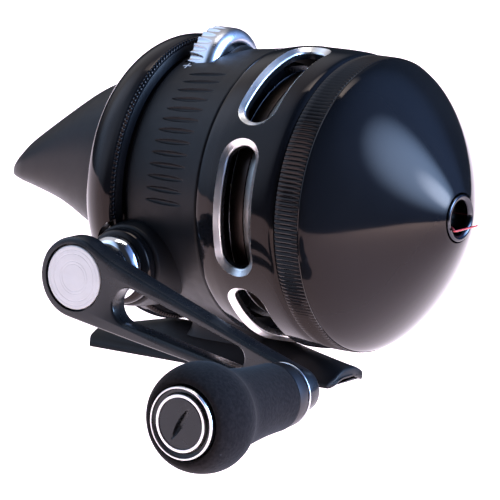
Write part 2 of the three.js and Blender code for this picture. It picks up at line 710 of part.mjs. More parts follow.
add('knob_spindle', knobTurned([
  [5.2, 0], [5.2, 2.2], [41.4, 2.2], [41.4, 0],
], COARSE), steel());
add('knob_sleeve', knobTurned([
  [2.9, 0], [2.9, 4], [35.4, 4], [35.4, 2.5], [4.9, 2.5], [4.9, 0],
], COARSE), satinBlack());
add('knob_grip', knobTurned([
  [1.5, 7.6], [1.2, 8.3], [1.7, 9.3], [3.2, 10.2], [5.4, 10.9], [8, 11.1], [10.4, 10.5],
  [13, 9.1], [15.6, 8.3], [19, 7.8], [24, 7.25], [28, 7.05], [31.6, 6.9], [31.6, 4.3],
  [2.6, 4.3], [2.6, 7.6],
]), foam());
add('knob_end_cap', knobTurned([
  [1.4, 0], [1.4, 5.95], [0.5, 5.95], [0.4, 6.2], [0.4, 7.1], [0.6, 7.3], [2.4, 7.3], [2.4, 0],
]), satinBlack());
add('knob_plug', knobTurned([
  [-0.1, 0], [-0.1, 5.5], [0.1, 5.7], [1.1, 5.7], [1.1, 0],
]).subtract(block(-4, 4, -1, 1, -0.5, 0.5).rotate([0, -61, 0])
  .translate(KNOB_X, knobY(-0.5), KNOB_Z)), satinBlack());
add('knob_collar', knobTurned([
  [31.9, 4.3], [31.9, 6.8], [35, 6.6], [35.5, 6.2], [35.5, 4.3],
]), glossBlack());
add('knob_ring', knobTurned([
  [35.8, 2.6], [35.8, 6.3], [36.1, 6.5], [36.4, 6.3], [36.4, 2.6],
]), chrome());
add('knob_neck', knobTurned([
  [36.7, 2.6], [36.7, 4.9], [37.4, 4.8], [37.8, 4.6], [37.8, 2.6],
]), satinBlack());

// Rod foot: a gull-winged saddle with a raised middle and a stem under the body

function footSection(x) {
  const samples = 12;
  const below = [];
  const above = [];
  const reach = Math.min(1, (FOOT_HALF_LENGTH - Math.abs(x)) / 20);
  for (let i = -samples / 2; i <= samples / 2; i += 1) {
    const y = (FOOT_HALF_WIDTH * i) / (samples / 2);
    const out = Math.abs(y);
    const bend = Math.max(0, out - 1.2) / (FOOT_HALF_WIDTH - 1.2);
    const droop = -1.85 * (1 - Math.cos(bend * Math.PI / 2));
    const lift = out > 5.6 ? 0.3 : 0;
    const crown = Math.cos(Math.min(1, out / 5.7) * Math.PI / 2) ** 1.2;
    below.push(new THREE.Vector3(x, y, droop + lift));
    above.push(new THREE.Vector3(x, y, droop - lift + FOOT_EDGE + 4.6 * reach * crown));
  }
  return [...below, ...above.reverse()];
}

function rodFoot() {
  const stations = [-34, -29, -24, -19, -13.3, 0, 13.3, 19, 24, 29, 34];
  const plan = new THREE.Shape();
  const corner = FOOT_HALF_LENGTH - 2.6;
  const w = FOOT_HALF_WIDTH;
  plan.moveTo(corner, -w);
  plan.quadraticCurveTo(2 * FOOT_HALF_LENGTH - corner, 0, corner, w);
  plan.lineTo(-corner, w);
  plan.quadraticCurveTo(-2 * FOOT_HALF_LENGTH + corner, 0, -corner, -w);
  plan.closePath();
  const planSolid = solidFrom(new THREE.ExtrudeGeometry(plan,
    { depth: 20, curveSegments: 8, bevelEnabled: false })).translate(0, 0, -6);
  const saddle = loft(stations.map(footSection)).intersect(planSolid);
  const stemLow = { x: 9.6, y: 4.6, z: 4.6 };
  const stemHigh = { x: 9, y: 4.2, z: 12 };
  const stemRing = ({ x, y, z }) => {
    const points = [];
    for (let i = 0; i < 16; i += 1) {
      const turn = (2 * Math.PI * i) / 16;
      const square = (value) => Math.sign(value) * Math.abs(value) ** 0.6;
      points.push(new THREE.Vector3(2 + x * square(Math.cos(turn)), y * square(Math.sin(turn)), z));
    }
    return points;
  };
  const stem = loft([stemRing(stemLow), stemRing(stemHigh)]);
  const keepOut = turned([[BODY_REAR_X - 8, 0], [BODY_REAR_X - 8, 27.2], ...bodyOutside(GAP),
    [BODY_FRONT_X + 8, 32], [BODY_FRONT_X + 8, 0]], FINE);
  let foot = saddle.add(stem).subtract(keepOut);
  for (const x of FOOT_SCREW_X) foot = foot.subtract(rodUp(4, 14, 1.6, x, 0));
  return foot;
}

add('rod_foot', rodFoot(), mattBlack());
FOOT_SCREW_X.forEach((x, i) => {
  const seat = AXIS_Z - 24.2 - 0.12 * (x + 8);
  add(`foot_screw_${i + 1}`, rodUp(seat, seat + 1.4, 2.7, x, 0).add(rodUp(4.4, seat + 1, 1.3, x, 0)),
    steel());
});

// Fishing line: off a pickup pin, over the spinner head to the nose, and across its mouth

const LINE_R = 0.2;
const LINE_POINTS = [
  [23.4, -1.2, -27.2], [24.6, -1.2, -26.9], [25.6, -1.25, -26.3], [27.5, -1.35, -24.6],
  [38, -1.8, -13.2], [45, -2.2, -5.2], [47.6, -2.4, -2.5], [49.5, -2.45, -1.85], [53, -2.5, -1.75],
  [57, -2.6, -1.7], [58, -3.05, -1.85], [58.35, -3.6, -2], [58.7, -4, -2.05], [59.05, -3.6, -2.05],
  [59, -2.6, -2.1], [58.85, 0, -2.15], [58.5, 5.4, -2.25],
];

function fishingLine() {
  const path = new THREE.CatmullRomCurve3(
    LINE_POINTS.map(([x, y, z]) => new THREE.Vector3(x, y, AXIS_Z + z)));
  const steps = 3 * (LINE_POINTS.length - 1);
  const sides = 8;
  const rings = [];
  const side = new THREE.Vector3(0, 1, 0);
  for (let i = 0; i <= steps; i += 1) {
    const centre = path.getPoint(i / steps);
    const along = path.getTangent(i / steps);
    side.addScaledVector(along, -side.dot(along)).normalize();
    const up = new THREE.Vector3().crossVectors(along, side);
    const points = [];
    for (let j = 0; j < sides; j += 1) {
      const turn = (2 * Math.PI * j) / sides;
      points.push(centre.clone().addScaledVector(side, LINE_R * Math.cos(turn))
        .addScaledVector(up, LINE_R * Math.sin(turn)));
    }
    rings.push(points);
  }
  return loft(rings);
}

add('fishing_line', fishingLine(), redLine());

export default reel;
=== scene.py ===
import json
import math

import bmesh
import bpy
import numpy as np
from mathutils import Matrix, Vector


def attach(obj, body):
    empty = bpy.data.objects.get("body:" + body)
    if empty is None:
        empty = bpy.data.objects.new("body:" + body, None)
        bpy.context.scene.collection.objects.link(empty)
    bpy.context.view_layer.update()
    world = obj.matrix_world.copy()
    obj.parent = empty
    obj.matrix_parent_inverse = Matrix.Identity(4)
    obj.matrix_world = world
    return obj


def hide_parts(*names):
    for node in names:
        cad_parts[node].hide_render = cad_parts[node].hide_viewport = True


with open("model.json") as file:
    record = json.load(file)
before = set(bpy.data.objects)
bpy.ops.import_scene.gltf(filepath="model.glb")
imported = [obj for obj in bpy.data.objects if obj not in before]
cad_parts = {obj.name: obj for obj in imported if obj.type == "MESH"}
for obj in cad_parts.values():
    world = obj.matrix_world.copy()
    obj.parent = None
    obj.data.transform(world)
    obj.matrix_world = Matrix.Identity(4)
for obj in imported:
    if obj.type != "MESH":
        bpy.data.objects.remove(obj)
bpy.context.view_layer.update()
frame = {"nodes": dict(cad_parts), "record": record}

MM = 0.001
AXIS_Z = 37.7
NOSE_X = 58.0
CRANK_X, CRANK_Z = -4.7, AXIS_Z - 14.1
CRANK_FACE_Y = -49.0
THROW, DROP, ARM_DROP = 56.5, math.radians(16.2), math.radians(13.3)
KNOB_X = CRANK_X + THROW * math.cos(DROP)
KNOB_Z = CRANK_Z - THROW * math.sin(DROP)
KNOB_CAP_Y = -87.1
WHEEL_Z = AXIS_Z + 22.7
BODY_PROFILE = [(-8, 26.9), (-7.1, 27.6), (-2, 28.2), (4, 29), (8, 29.5), (11.8, 30.1)]
BODY_REAR_X, BODY_FRONT_X = -8.0, 12.1
POCKET_REAR_X, POCKET_FRONT_X = -6.5, 1.4  # the hole that the drag wheel stands in
POCKET_START, POCKET_END = 70.5, 109.5  # the same hole, in degrees round the body
GROOVE_COUNT, GROOVE_PITCH = 13, 5.05  # finger grooves on each side, and degrees between them
GROOVE_X, GROOVE_HALF_LENGTH, GROOVE_HALF_WIDTH, GROOVE_DEPTH = 3.1, 4.9, 0.6, 0.55
COVER_TEETH, LIP_TEETH = 200, 190  # the front cover's knurl, and the rear cover's fine teeth
POINTS_PER_TOOTH = 4
WINDOW_COUNT, WINDOW_FIRST = 6, 2.5  # degrees from the crank side
SHROUD_INSIDE = 29.05
WHEEL_RIBS, POINTS_PER_RIB = 32, 16
ARM_THICK, ARM_BEVEL = 4.8, 0.75


# Camera, at the photograph's place

camera = bpy.data.cameras.new("camera")
camera.lens = 360
camera.sensor_width = 36
camera.clip_end = 20
camera_object = bpy.data.objects.new("camera", camera)
right = Vector((0.8240, 0.5657, 0.0329))
up = Vector((-0.1342, 0.1385, 0.9813))
back = right.cross(up)
turn = Matrix((right, up, back)).transposed().to_4x4()
camera_object.matrix_world = Matrix.Translation(Vector((0.58948, -0.86216, 0.22542))) @ turn
bpy.context.scene.collection.objects.link(camera_object)
bpy.context.scene.camera = camera_object


# Materials


def principled(made):
    return made.node_tree.nodes["Principled BSDF"]


def material(name, color, rough, metallic=0.0, coat=0.0, coat_rough=0.03, specular=0.5):
    made = bpy.data.materials.new(name)
    made.use_nodes = True
    shader = principled(made)
    shader.inputs["Base Color"].default_value = (*color, 1)
    shader.inputs["Roughness"].default_value = rough
    shader.inputs["Metallic"].default_value = metallic
    shader.inputs["Coat Weight"].default_value = coat
    shader.inputs["Coat Roughness"].default_value = coat_rough
    shader.inputs["Specular IOR Level"].default_value = specular
    return made


def node(made, kind, **values):
    item = made.node_tree.nodes.new(kind)
    for key, value in values.items():
        if key in item.inputs:
            item.inputs[key].default_value = value
        else:
            setattr(item, key, value)
    return item


def link(made, source, target):
    made.node_tree.links.new(source, target)


def texture(made, kind="ShaderNodeTexNoise", stretch=(1, 1, 1), **values):
    coordinates = node(made, "ShaderNodeTexCoord")
    mapping = node(made, "ShaderNodeMapping", Scale=stretch)
    item = node(made, kind, **values)
    link(made, coordinates.outputs["Object"], mapping.inputs["Vector"])
    link(made, mapping.outputs["Vector"], item.inputs["Vector"])
    return item


def spread(made, source, low, high, start=0.0, end=1.0):
    ranged = node(made, "ShaderNodeMapRange")
    ranged.inputs["From Min"].default_value = start
    ranged.inputs["From Max"].default_value = end
    ranged.inputs["To Min"].default_value = low
    ranged.inputs["To Max"].default_value = high
    link(made, source, ranged.inputs["Value"])
    return ranged.outputs["Result"]


def vary_rough(made, low, high, scale, stretch=(1, 1, 1)):
    noise = texture(made, stretch=stretch, Scale=scale, Detail=3.0)
    rough = spread(made, noise.outputs["Fac"], low, high, 0.3, 0.7)
    link(made, rough, principled(made).inputs["Roughness"])


def vary_color(made, dark, light, scale, stretch=(1, 1, 1)):
    noise = texture(made, stretch=stretch, Scale=scale, Detail=3.0)
    ramp = node(made, "ShaderNodeValToRGB")
    ramp.color_ramp.elements[0].position = 0.35
    ramp.color_ramp.elements[1].position = 0.65
    ramp.color_ramp.elements[0].color = (*dark, 1)
    ramp.color_ramp.elements[1].color = (*light, 1)
    link(made, noise.outputs["Fac"], ramp.inputs["Fac"])
    link(made, ramp.outputs["Color"], principled(made).inputs["Base Color"])


def bump(made, scale, strength, distance, stretch=(1, 1, 1)):
    height = texture(made, stretch=stretch, Scale=scale, Detail=2.0)
    item = node(made, "ShaderNodeBump", Strength=strength, Distance=distance)
    link(made, height.outputs["Fac"], item.inputs["Height"])
    link(made, item.outputs["Normal"], principled(made).inputs["Normal"])


def gloss_black():
    made = material("gloss_black", (0.006, 0.0065, 0.008), 0.08, 0.0, 0.0, 0.05, 0.24)
    principled(made).inputs["Specular Tint"].default_value = (1, 0.76, 0.64, 1)
    vary_color(made, (0.005, 0.0055, 0.007), (0.008, 0.0085, 0.010), 40)
    vary_rough(made, 0.07, 0.1, 300)
    return made


def matt_black():
    made = material("matt_black", (0.010, 0.0105, 0.012), 0.4, 0.0, 0.0, 0.1, 0.22)
    principled(made).inputs["Specular Tint"].default_value = (1, 0.88, 0.8, 1)
    vary_color(made, (0.008, 0.0085, 0.010), (0.012, 0.0125, 0.0145), 60)
    vary_rough(made, 0.37, 0.44, 500)
    bump(made, 6000, 0.2, 0.00003)
    return made


def satin_black():
    made = material("satin_black", (0.008, 0.0085, 0.010), 0.28, 0.0, 0.2, 0.15, 0.3)
    vary_color(made, (0.007, 0.0075, 0.009), (0.010, 0.0105, 0.012), 80)
    vary_rough(made, 0.25, 0.32, 400)
    return made


def bright(name, color, low, high, stretch=(1, 1, 1), scale=400, strength=0.08):
    made = material(name, color, low, 1.0)
    vary_rough(made, low, high, scale, stretch)
    dark = tuple(0.9 * c for c in color)
    vary_color(made, dark, color, scale * 0.4, stretch)
    bump(made, scale * 4, strength, 0.00002, stretch)
    return made


def foam():
    made = material("foam", (0.008, 0.008, 0.010), 0.95, 0.0, 0.0, 0.1, 0.12)
    grain = texture(made, Scale=1400, Detail=4.0)
    specks = texture(made, kind="ShaderNodeTexVoronoi", Scale=420)
    dots = spread(made, specks.outputs["Distance"], 1.0, 0.0, 0.0, 0.13)
    mask = texture(made, Scale=180, Detail=1.0)
    few = spread(made, mask.outputs["Fac"], 0.0, 1.0, 0.55, 0.66)
    both = node(made, "ShaderNodeMath", operation="MULTIPLY")
    link(made, dots, both.inputs[0])
    link(made, few, both.inputs[1])
    base = node(made, "ShaderNodeValToRGB")
    base.color_ramp.elements[0].position = 0.35
    base.color_ramp.elements[1].position = 0.7
    base.color_ramp.elements[0].color = (0.006, 0.0045, 0.0046, 1)
    base.color_ramp.elements[1].color = (0.014, 0.0108, 0.0108, 1)
    link(made, grain.outputs["Fac"], base.inputs["Fac"])
    mixed = node(made, "ShaderNodeMix", data_type="RGBA")
    mixed.inputs["B"].default_value = (0.06, 0.06, 0.07, 1)
    link(made, both.outputs[0], mixed.inputs["Factor"])
    link(made, base.outputs["Color"], mixed.inputs["A"])
    shader = principled(made)
    link(made, mixed.outputs["Result"], shader.inputs["Base Color"])
    shader.inputs["Sheen Weight"].default_value = 0.05
    shader.inputs["Sheen Roughness"].default_value = 0.5
    item = node(made, "ShaderNodeBump", Strength=0.7, Distance=0.00012)
    link(made, grain.outputs["Fac"], item.inputs["Height"])
    link(made, item.outputs["Normal"], shader.inputs["Normal"])
    return made


GLOSS = gloss_black()
MATT = matt_black()
SATIN = satin_black()
DARK_CHROME = bright("dark_chrome", (0.06, 0.06, 0.068), 0.12, 0.18)
DARK_METAL = bright("dark_metal", (0.05, 0.048, 0.052), 0.4, 0.5)
CHROME = bright("chrome", (0.82, 0.82, 0.86), 0.06, 0.12)
SILVER = bright("satin_silver", (0.72, 0.71, 0.74), 0.26, 0.36, (1, 1, 1), 500, 0.1)
BEZEL = bright("cut_edge", (0.92, 0.88, 0.85), 0.26, 0.36, (1, 0.2, 0.2), 900, 0.1)
STEEL = bright("steel", (0.5, 0.5, 0.52), 0.25, 0.38, (0.2, 1, 1), 500)
DISC = material("painted_silver", (0.66, 0.65, 0.64), 0.5, 0.4)
vary_rough(DISC, 0.46, 0.54, 500)
vary_color(DISC, (0.65, 0.64, 0.62), (0.69, 0.68, 0.66), 300)
BRASS = bright("brass", (0.62, 0.45, 0.18), 0.25, 0.38, (1, 1, 1), 500)
BRONZE = bright("bronze", (0.07, 0.05, 0.043), 0.32, 0.42, (0.2, 1, 1), 500)
CHAMPAGNE = bright("champagne", (0.42, 0.39, 0.36), 0.28, 0.4, (0.2, 1, 1), 500)
FOAM = foam()
NYLON = material("nylon", (0.05, 0.05, 0.055), 0.5)
vary_rough(NYLON, 0.45, 0.6, 300)
RED = material("red_line", (0.55, 0.035, 0.04), 0.35, 0.0, 0.3)
vary_color(RED, (0.45, 0.02, 0.03), (0.62, 0.05, 0.05), 900)
WHITE = material("white_paint", (0.62, 0.62, 0.64), 0.5)
vary_rough(WHITE, 0.45, 0.6, 800)
LOOKS = {
    "gloss_black": GLOSS,
    "gloss_black_plastic": GLOSS,
    "matt_black": MATT,
    "satin_black": SATIN,
    "black_metal": SATIN,
    "chrome": CHROME,
    "dark_chrome": DARK_CHROME,
    "aluminium": SILVER,
    "steel": STEEL,
    "brass": BRASS,
    "bronze": BRONZE,
    "foam": FOAM,
    "nylon": NYLON,
    "red_line": RED,
}


# Meshes


def weld(mesh, dist):
    work = bmesh.new()
    work.from_mesh(mesh)
    bmesh.ops.remove_doubles(work, verts=work.verts, dist=dist)
    bmesh.ops.recalc_face_normals(work, faces=work.faces)
    work.to_mesh(mesh)
    work.free()


def smooth_sharp(mesh, crease):
    mesh.shade_smooth()
    mesh.set_sharp_from_angle(angle=math.radians(crease))


def piece(name, points, faces, body, looks, nodes=(), crease=30, kinds=None):
    mesh = bpy.data.meshes.new(name)
    mesh.from_pydata((np.asarray(points, float) * MM).tolist(), [], faces)
    for look in looks if isinstance(looks, (list, tuple)) else [looks]:
        mesh.materials.append(look)
    if kinds is not None:
        mesh.polygons.foreach_set("material_index", kinds)
    weld(mesh, 2e-7)
    return place(name, mesh, body, nodes, crease)


def place(name, mesh, body, nodes, crease=30):
    smooth_sharp(mesh, crease)
    item = bpy.data.objects.new(name, mesh)
    bpy.context.scene.collection.objects.link(item)
    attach(item, body)
    if nodes:
        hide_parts(*nodes)
    return item


def evaluated_mesh(item):
    bpy.context.view_layer.update()
    graph = bpy.context.evaluated_depsgraph_get()
    return bpy.data.meshes.new_from_object(item.evaluated_get(graph))


def cut_away(item, shapes, crease):
    """Takes turned shapes, given as (points, faces), out of a piece's mesh."""
    cutters = []
    for points, faces in shapes:
        mesh = bpy.data.meshes.new("cutter")
        mesh.from_pydata((np.array(points) * MM).tolist(), [], faces)
        weld(mesh, 1e-6)
        cutter = bpy.data.objects.new("cutter", mesh)
        bpy.context.scene.collection.objects.link(cutter)
        change = item.modifiers.new("cut", "BOOLEAN")
        change.operation = "DIFFERENCE"
        change.solver = "EXACT"
        change.object = cutter
        cutters.append(cutter)
    mesh = evaluated_mesh(item)
    item.modifiers.clear()
    item.data = mesh
    smooth_sharp(mesh, crease)
    for cutter in cutters:
        bpy.data.objects.remove(cutter)


def rounded(profile, radius, steps=3):
    """The outline with a small arc in place of each corner.

    An outline that starts and ends on the axis is open.
    """
    profile = [tuple(p[:2]) for p in profile]
    is_open = profile[0][1] == 0 and profile[-1][1] == 0
    count = len(profile)
    result = []
    for i, here in enumerate(profile):
        if is_open and i in (0, count - 1):
            result.append(here)
            continue
        p = np.array(here)
        before = np.array(profile[i - 1]) - p
        after = np.array(profile[(i + 1) % count]) - p
        la, lb = np.linalg.norm(before), np.linalg.norm(after)
        bend = math.degrees(math.acos(np.clip(-(before @ after) / (la * lb), -1, 1)))
        if bend < 14:
            result.append(here)
            continue
        cut = min(radius, 0.4 * la, 0.4 * lb)
        a, b = p + before / la * cut, p + after / lb * cut
        for k in range(steps + 1):
            t = k / steps
            q = (1 - t) ** 2 * a + 2 * t * (1 - t) * p + t * t * b
            result.append(tuple(q))
    return result


def about_x(y=0.0, z=AXIS_Z):
    return lambda along, r, angle: (along, y - r * math.cos(angle), z + r * math.sin(angle))


def about_y(x, z):
    return lambda along, r, angle: (x + r * math.cos(angle), along, z + r * math.sin(angle))


def quads(low, high, count, start=0):
    """Faces between two closed rows of count points each."""
    a, b = start + low * count, start + high * count
    return [(a + j, a + (j + 1) % count, b + (j + 1) % count, b + j) for j in range(count)]


def spin(profile, count, put, cuts=None, wave=(0,)):
    """Points and faces of a turned shape.

    cuts gives each profile point's tooth depth, and wave the tooth's form.
    """
    is_open = profile[0][1] == 0 and profile[-1][1] == 0
    points = []
    for i, (along, r) in enumerate(profile):
        deep = cuts[i] if cuts is not None else 0.0
        for j in range(count):
            cut = deep * wave[j % len(wave)]
            points.append(put(along, r - cut, 2 * math.pi * j / count))
    faces = []
    rows = len(profile)
    for i in range(rows - 1 if is_open else rows):
        faces += quads(i, (i + 1) % rows, count)
    return points, faces


def turned(name, profile, body, look, nodes=(), put=None, count=96, radius=0.15, crease=30):
    put = put or about_x()
    points, faces = spin(rounded(profile, radius), count, put)
    return piece(name, points, faces, body, look, nodes, crease)


def smoothed(profile, xs, rounds):
    """Radius against x through a profile, with its corners eased."""
    level = np.interp(xs, [p[0] for p in profile], [p[1] for p in profile])
    for _ in range(rounds):
        level[1:-1] = (level[:-2] + 2 * level[1:-1] + level[2:]) / 4
    return lambda x: float(np.interp(x, xs, level))


def smooth_path(points, count):
    """A smooth run of count points through a few, by Catmull-Rom."""
    p = np.array(points, float)
    p = np.vstack([2 * p[0] - p[1], p, 2 * p[-1] - p[-2]])
    spans = len(p) - 3
    out = []
    for k in range(count):
        s = spans * k / (count - 1)
        i = min(int(s), spans - 1)
        t = s - i
        a, b, c, d = p[i], p[i + 1], p[i + 2], p[i + 3]
        out.append(0.5 * (2 * b + (c - a) * t + (2 * a - 5 * b + 4 * c - d) * t * t
                          + (3 * b - a - 3 * c + d) * t ** 3))
    return np.array(out)


def loft(rings):
    count = len(rings[0])
    points = [tuple(q) for ring in rings for q in ring]
    faces = []
    for i in range(len(rings) - 1):
        faces += quads(i, i + 1, count)
    faces.append(tuple(range(count)))
    faces.append(tuple(range((len(rings) - 1) * count, len(rings) * count)))
    return points, faces


# The fishing line, off a pickup pin, over the spinner head to the nose and across its mouth

LINE = [
    (23.4, -1.2, -27.2), (24.6, -1.2, -26.9), (25.6, -1.25, -26.3), (27.5, -1.35, -24.6),
    (38, -1.8, -13.2), (45, -2.2, -5.2), (47.6, -2.4, -2.5), (49.5, -2.45, -1.85),
    (53, -2.5, -1.75), (57, -2.6, -1.7), (58, -3.05, -1.85), (58.35, -3.6, -2),
    (58.7, -4, -2.05), (59.05, -3.6, -2.05), (59, -2.6, -2.1), (58.85, 0, -2.15),
    (58.5, 5.4, -2.25),
]


def line_points():
    """Centripetal Catmull-Rom through LINE, the curve that the CAD tube follows."""
    p = np.array([(x, y, AXIS_Z + z) for x, y, z in LINE], float)
    p = np.vstack([2 * p[0] - p[1], p, 2 * p[-1] - p[-2]])
    out = []
    for i in range(len(p) - 3):
        a, b, c, d = p[i:i + 4]
        t0 = 0.0
        t1 = t0 + np.linalg.norm(b - a) ** 0.5
        t2 = t1 + np.linalg.norm(c - b) ** 0.5
        t3 = t2 + np.linalg.norm(d - c) ** 0.5
        for k in range(8):
            t = t1 + (t2 - t1) * k / 8
            a1 = (t1 - t) / (t1 - t0) * a + (t - t0) / (t1 - t0) * b
            a2 = (t2 - t) / (t2 - t1) * b + (t - t1) / (t2 - t1) * c
            a3 = (t3 - t) / (t3 - t2) * c + (t - t2) / (t3 - t2) * d
            b1 = (t2 - t) / (t2 - t0) * a1 + (t - t0) / (t2 - t0) * a2
            b2 = (t3 - t) / (t3 - t1) * a2 + (t - t1) / (t3 - t1) * a3
            out.append((t2 - t) / (t2 - t1) * b1 + (t - t1) / (t2 - t1) * b2)
    out.append(p[-2])
    return np.array(out)


def fishing_line():
    path = line_points()
    rings = []
    side = np.array([0.0, 1.0, 0.0])
    for i, centre in enumerate(path):
        along = path[min(i + 1, len(path) - 1)] - path[max(i - 1, 0)]
        along /= np.linalg.norm(along)
        side = side - along * (side @ along)
        side /= np.linalg.norm(side)
        over = np.cross(along, side)
        turns = [2 * math.pi * j / 12 for j in range(12)]
        rings.append([centre + 0.2 * (math.cos(a) * side + math.sin(a) * over) for a in turns])
    points, faces = loft(rings)
    item = piece("line_look", points, faces, "spinner", RED, ["fishing_line"])


fishing_line()


# Front cover


def dome_point(t):
    rise = (1 - (1 - t) ** 1.4) ** 0.9
    return NOSE_X - 0.5 - t * 19.6, 5.3 + 25.5 * rise


def front_cover():
    outer = [dome_point((i / 56) ** 1.3) for i in range(57)]
    inner = [(x - 1.0, max(5.2, r - 1.6)) for x, r in outer[::6]][::-1]
    rear = NOSE_X - 25.9
    edge = [(38.15, 30.86), (38.0, 30.7), (37.86, 30.7)]
    tail = [(rear + 0.1, 28.7), (29.0, 28.7), (29.0, 27.0), (rear + 3.4, 28.0)]
    knurl = [(37.8, 30.85), (37.5, 31.0), (36, 31.02), (34, 31.02), (32.6, 31.0), (32.2, 30.75),
             (32.1, 30.3)]
    profile = outer + edge + knurl + tail + inner
    cuts = [0.0] * (len(outer) + len(edge)) + [0.1, 0.34, 0.36, 0.36, 0.34, 0.1, 0.0]
    cuts += [0.0] * (len(tail) + len(inner))
    points, faces = spin(profile, COVER_TEETH * POINTS_PER_TOOTH, about_x(), cuts,
                         (0.0, 0.35, 1.0, 0.35))
    return piece("front_cover_look", points, faces, "frame", GLOSS,
                 ["front_cover"], 40)


front_cover()
turned("guide_ring_look", [
    (NOSE_X - 5, 3.5), (NOSE_X - 5, 4.9), (NOSE_X - 0.6, 4.95), (NOSE_X - 0.15, 4.95),
    (NOSE_X, 4.55), (NOSE_X - 0.05, 4.2), (NOSE_X - 0.35, 3.75), (NOSE_X - 0.8, 3.5),
], "frame", DARK_CHROME, ["line_guide_ring"], radius=0.2)


# Windowed shroud

SHROUD = [(12.4, 30.2), (12.5, 30.3), (13.5, 30.55), (16, 31.05), (18.5, 31.32), (21, 31.4),
          (26, 31.4), (28.5, 31.35), (30, 31.25), (31.0, 31.05), (31.5, 30.7), (31.8, 30.3)]


def stadium(half, r, sides=44, turns=20):
    """A slot outline's (arc, x) points, one side after another, from half length and radius."""
    out = [(-half + 2 * half * i / sides, -r) for i in range(sides)]
    out += [(half + r * math.sin(math.pi * i / turns), -r * math.cos(math.pi * i / turns))
            for i in range(turns)]
    out += [(half - 2 * half * i / sides, r) for i in range(sides)]
    out += [(-half - r * math.sin(math.pi * i / turns), r * math.cos(math.pi * i / turns))
            for i in range(turns)]
    return out


def window_frame_outline(half_angle, x_low, x_high, sides=44, turns=20):
    """The cell's edge as (angle, x), point for point with stadium()."""
    out = [(-half_angle + 2 * half_angle * i / sides, x_low) for i in range(sides)]
    out += [(half_angle, x_low + (x_high - x_low) * i / turns) for i in range(turns)]
    out += [(half_angle - 2 * half_angle * i / sides, x_high) for i in range(sides)]
    out += [(-half_angle, x_high - (x_high - x_low) * i / turns) for i in range(turns)]
    return out


def window_shroud():
    base = 30.3
    wide = 6.9 / 2
    half = math.radians(49.8 / 2) * base - wide
    centre = 22.0
    radius = smoothed(SHROUD, np.linspace(12.4, 31.8, 120), 6)
    points, faces, kinds = [], [], []
    put = about_x()

    def strip(rings, kind):
        start = len(points)
        count = len(rings[0])
        for ring in rings:
            points.extend(ring)
        for i in range(len(rings) - 1):
            faces.extend(quads(i, i + 1, count, start))
            kinds.extend([kind] * count)

    edge = window_frame_outline(math.radians(180 / WINDOW_COUNT), 13.5, 30.4)
    for k in range(WINDOW_COUNT):
        middle = math.radians(WINDOW_FIRST + 360 / WINDOW_COUNT * k)

        def blend(grow, steps, level):
            """Rows from the slot's edge out to the cell's edge."""
            hole = [(arc / base, x + centre) for arc, x in stadium(half, wide + grow)]
            rows = []
            for s in steps:
                row = []
                for (a, x), (b, y) in zip(hole, edge):
                    angle, along = a + (b - a) * s, x + (y - x) * s
                    row.append(put(along, level(along), middle + angle))
                rows.append(row)
            return rows

        def ring(grow, r, lift=0.0):
            out = []
            for arc, x in stadium(half, wide + grow):
                x += centre
                level = r if r is not None else radius(x) - lift
                out.append(put(x, level, middle + arc / base))
            return out

        strip(blend(1.25, (0, 0.06, 0.14, 0.26, 0.4, 0.55, 0.7, 0.85, 1.0), radius), 0)
        strip([ring(1.25, None), ring(1.2, None, 0.03), ring(1.13, None, 0.1)], 1)
        strip([ring(1.13, None, 0.1), ring(0.3, 30.62), ring(0.14, 30.5), ring(0.03, 30.34),
               ring(0, 30.15)], 1)
        strip([ring(0, 30.15), ring(0, 29.5), ring(0, SHROUD_INSIDE)], 2)
        strip(blend(0, (0, 0.3, 0.6, 1.0), lambda x: SHROUD_INSIDE), 2)
        for x_a, x_b, rows in ((30.4, 31.8, 8), (13.5, 12.4, 6)):
            angles = [math.radians(-30) + math.radians(60) * i / 44 for i in range(45)]
            start = len(points)
            levels = [(x_a + (x_b - x_a) * i / rows) for i in range(rows + 1)]
            line = [(x, radius(x)) for x in levels] + [(x_b, SHROUD_INSIDE), (x_a, SHROUD_INSIDE)]
            for x, r in line:
                points.extend(put(x, r, middle + a) for a in angles)
            for i in range(len(line) - 1):
                for j in range(44):
                    a = start + i * 45 + j
                    faces.append((a, a + 1, a + 46, a + 45))
                    kinds.append(0)
    return piece("shroud_look", points, faces, "frame", [GLOSS, BEZEL, SATIN],
                 ["window_shroud"], 30, kinds)


window_shroud()


# Body


def body_radius(x):
    return float(np.interp(x, [p[0] for p in BODY_PROFILE], [p[1] for p in BODY_PROFILE]))


